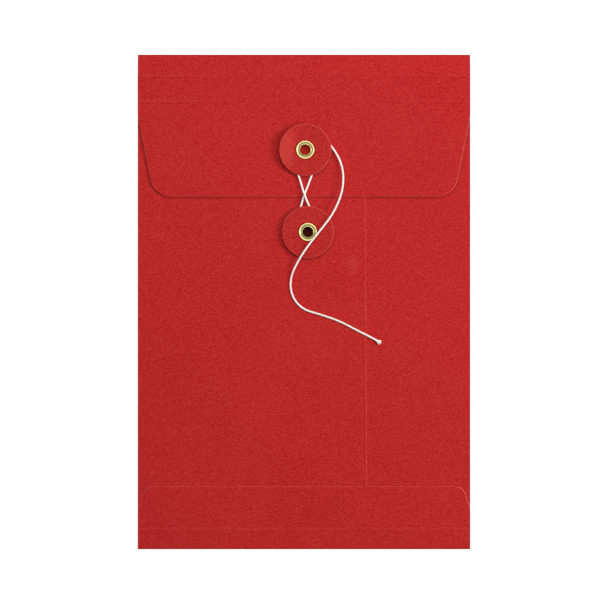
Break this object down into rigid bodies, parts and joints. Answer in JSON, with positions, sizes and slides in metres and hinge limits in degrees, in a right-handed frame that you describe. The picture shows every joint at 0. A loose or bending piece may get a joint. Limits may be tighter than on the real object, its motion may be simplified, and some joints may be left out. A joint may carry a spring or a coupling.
{
  "type": "string tie envelope",
  "caption": "Flat gusseted paper envelope with a folded flap, closed by a string wound in a figure of eight round two discs riveted on with eyelets.",
  "frame": {"origin": "middle of the plain front face that the envelope lies on", "axes": "+X across the envelope to the right as seen from the flap side, +Y from the bottom fold to the fold of the flap, +Z out of the back, up"},
  "size_m": [0.162, 0.241, 0.0063],
  "materials": {
    "red_paper": "matt uncoated paper",
    "red_board": "matt stamped board",
    "brass": "bright rolled brass",
    "string": "twisted cotton",
    "gum": "dried gum"
  },
  "bodies": {
    "front": {"front_panel": "red_paper", "left_gusset": "red_paper", "right_gusset": "red_paper", "bottom_fold": "red_paper", "bottom_strip": "red_paper"},
    "back": {"back_panel_left": "red_paper", "back_panel_right": "red_paper", "seam_gum": "gum", "bottom_gum": "gum", "bottom_flap": "red_paper", "lower_eyelet": "brass"},
    "flap": {"flap_bend": "red_paper", "closing_flap": "red_paper", "upper_eyelet": "brass", "string_knot": "string", "string_winding": "string", "string_tail": "string"},
    "upper_disc": {"upper_disc": "red_board"},
    "lower_disc": {"lower_disc": "red_board"}
  },
  "joints": [
    {"name": "flap_fold", "type": "hinge", "parent": "front", "child": "flap", "pos_m": [0, 0.1202, 0.0003], "axis": [-1, 0, 0], "range_deg": [0, 167], "deforming": ["string_winding"]},
    {"name": "mouth_spread", "type": "hinge", "parent": "front", "child": "back", "pos_m": [0, -0.1102, 0.00205], "axis": [1, 0, 0], "range_deg": [0, 6.5], "deforming": ["left_gusset", "right_gusset"]},
    {"name": "upper_disc_spin", "type": "hinge", "parent": "flap", "child": "upper_disc", "pos_m": [0.0006, 0.074, 0.00475], "axis": [0, 0, 1], "continuous": true},
    {"name": "lower_disc_spin", "type": "hinge", "parent": "back", "child": "lower_disc", "pos_m": [0.0019, 0.034, 0.00375], "axis": [0, 0, 1], "continuous": true}
  ],
  "couplings": [
    {"joint": "mouth_spread", "follows": "flap_fold", "ratio": 0.0389}
  ]
}
